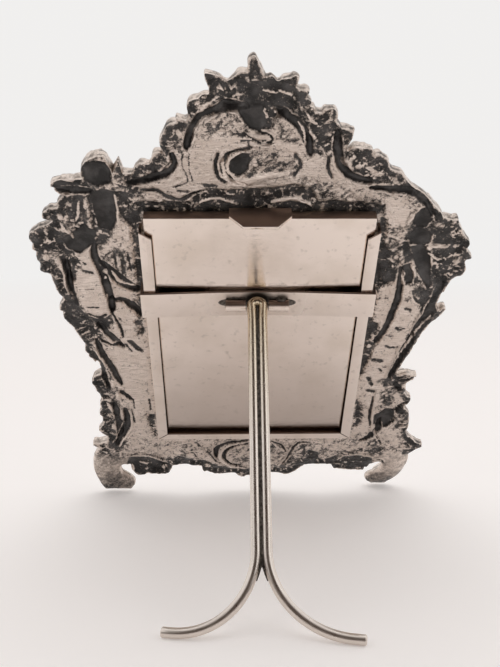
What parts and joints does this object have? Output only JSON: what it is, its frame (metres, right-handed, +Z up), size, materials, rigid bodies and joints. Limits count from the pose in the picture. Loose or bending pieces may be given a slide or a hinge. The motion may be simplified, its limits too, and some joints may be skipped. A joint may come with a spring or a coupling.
{
  "type": "easel photograph frame",
  "caption": "Table easel photograph frame: cast openwork scroll border, sheet-metal holder behind it, lift-out back plate and a hinged wire leg bent double.",
  "frame": {"origin": "on the floor, in the middle of the ground the standing frame covers", "axes": "+Z up, +Y out of the back towards the leg, +X to the left as seen from behind; the frame leans 38 degrees back"},
  "size_m": [0.1332, 0.1366, 0.1512],
  "materials": {
    "oxidised_silver": "cast silver, tarnished dark in the hollows and rubbed bright on the level parts",
    "sheet_silver": "polished sheet silver with fine scratches",
    "silver_wire": "polished drawn wire with a slight yellow tarnish",
    "steel_pin": "plain drawn pin",
    "board": "brown backing board",
    "card": "blank aged card",
    "glass": "clear"
  },
  "bodies": {
    "frame": {"cast_frame": "oxidised_silver", "left_rail": "sheet_silver", "right_rail": "sheet_silver", "bottom_rail": "sheet_silver", "cross_band": "sheet_silver", "hinge_tube_left": "sheet_silver", "hinge_tube_right": "sheet_silver", "hinge_pin": "steel_pin"},
    "plate": {"rear_plate": "sheet_silver", "pull_tab": "sheet_silver"},
    "board": {"backing_board": "board"},
    "card": {"picture_card": "card"},
    "glass": {"glass_pane": "glass"},
    "leg": {"leg_wire": "silver_wire", "leg_knuckle": "silver_wire"}
  },
  "joints": [
    {"name": "leg_fold", "type": "hinge", "parent": "frame", "child": "leg", "pos_m": [-0.001, 0.01076, 0.08246], "axis": [-1, 0, 0], "range_deg": [0, 70]},
    {"name": "plate_slide", "type": "slide", "parent": "frame", "child": "plate", "axis": [0, 0.6157, 0.788], "range_m": [0, 0.09]},
    {"name": "board_slide", "type": "slide", "parent": "frame", "child": "board", "axis": [0, 0.6157, 0.788], "range_m": [0, 0.072]},
    {"name": "card_slide", "type": "slide", "parent": "frame", "child": "card", "axis": [0, 0.6157, 0.788], "range_m": [0, 0.054]},
    {"name": "glass_slide", "type": "slide", "parent": "frame", "child": "glass", "axis": [0, 0.6157, 0.788], "range_m": [0, 0.036]}
  ],
  "couplings": [
    {"joint": "board_slide", "follows": "plate_slide", "ratio": 0.8},
    {"joint": "card_slide", "follows": "plate_slide", "ratio": 0.6},
    {"joint": "glass_slide", "follows": "plate_slide", "ratio": 0.4}
  ]
}
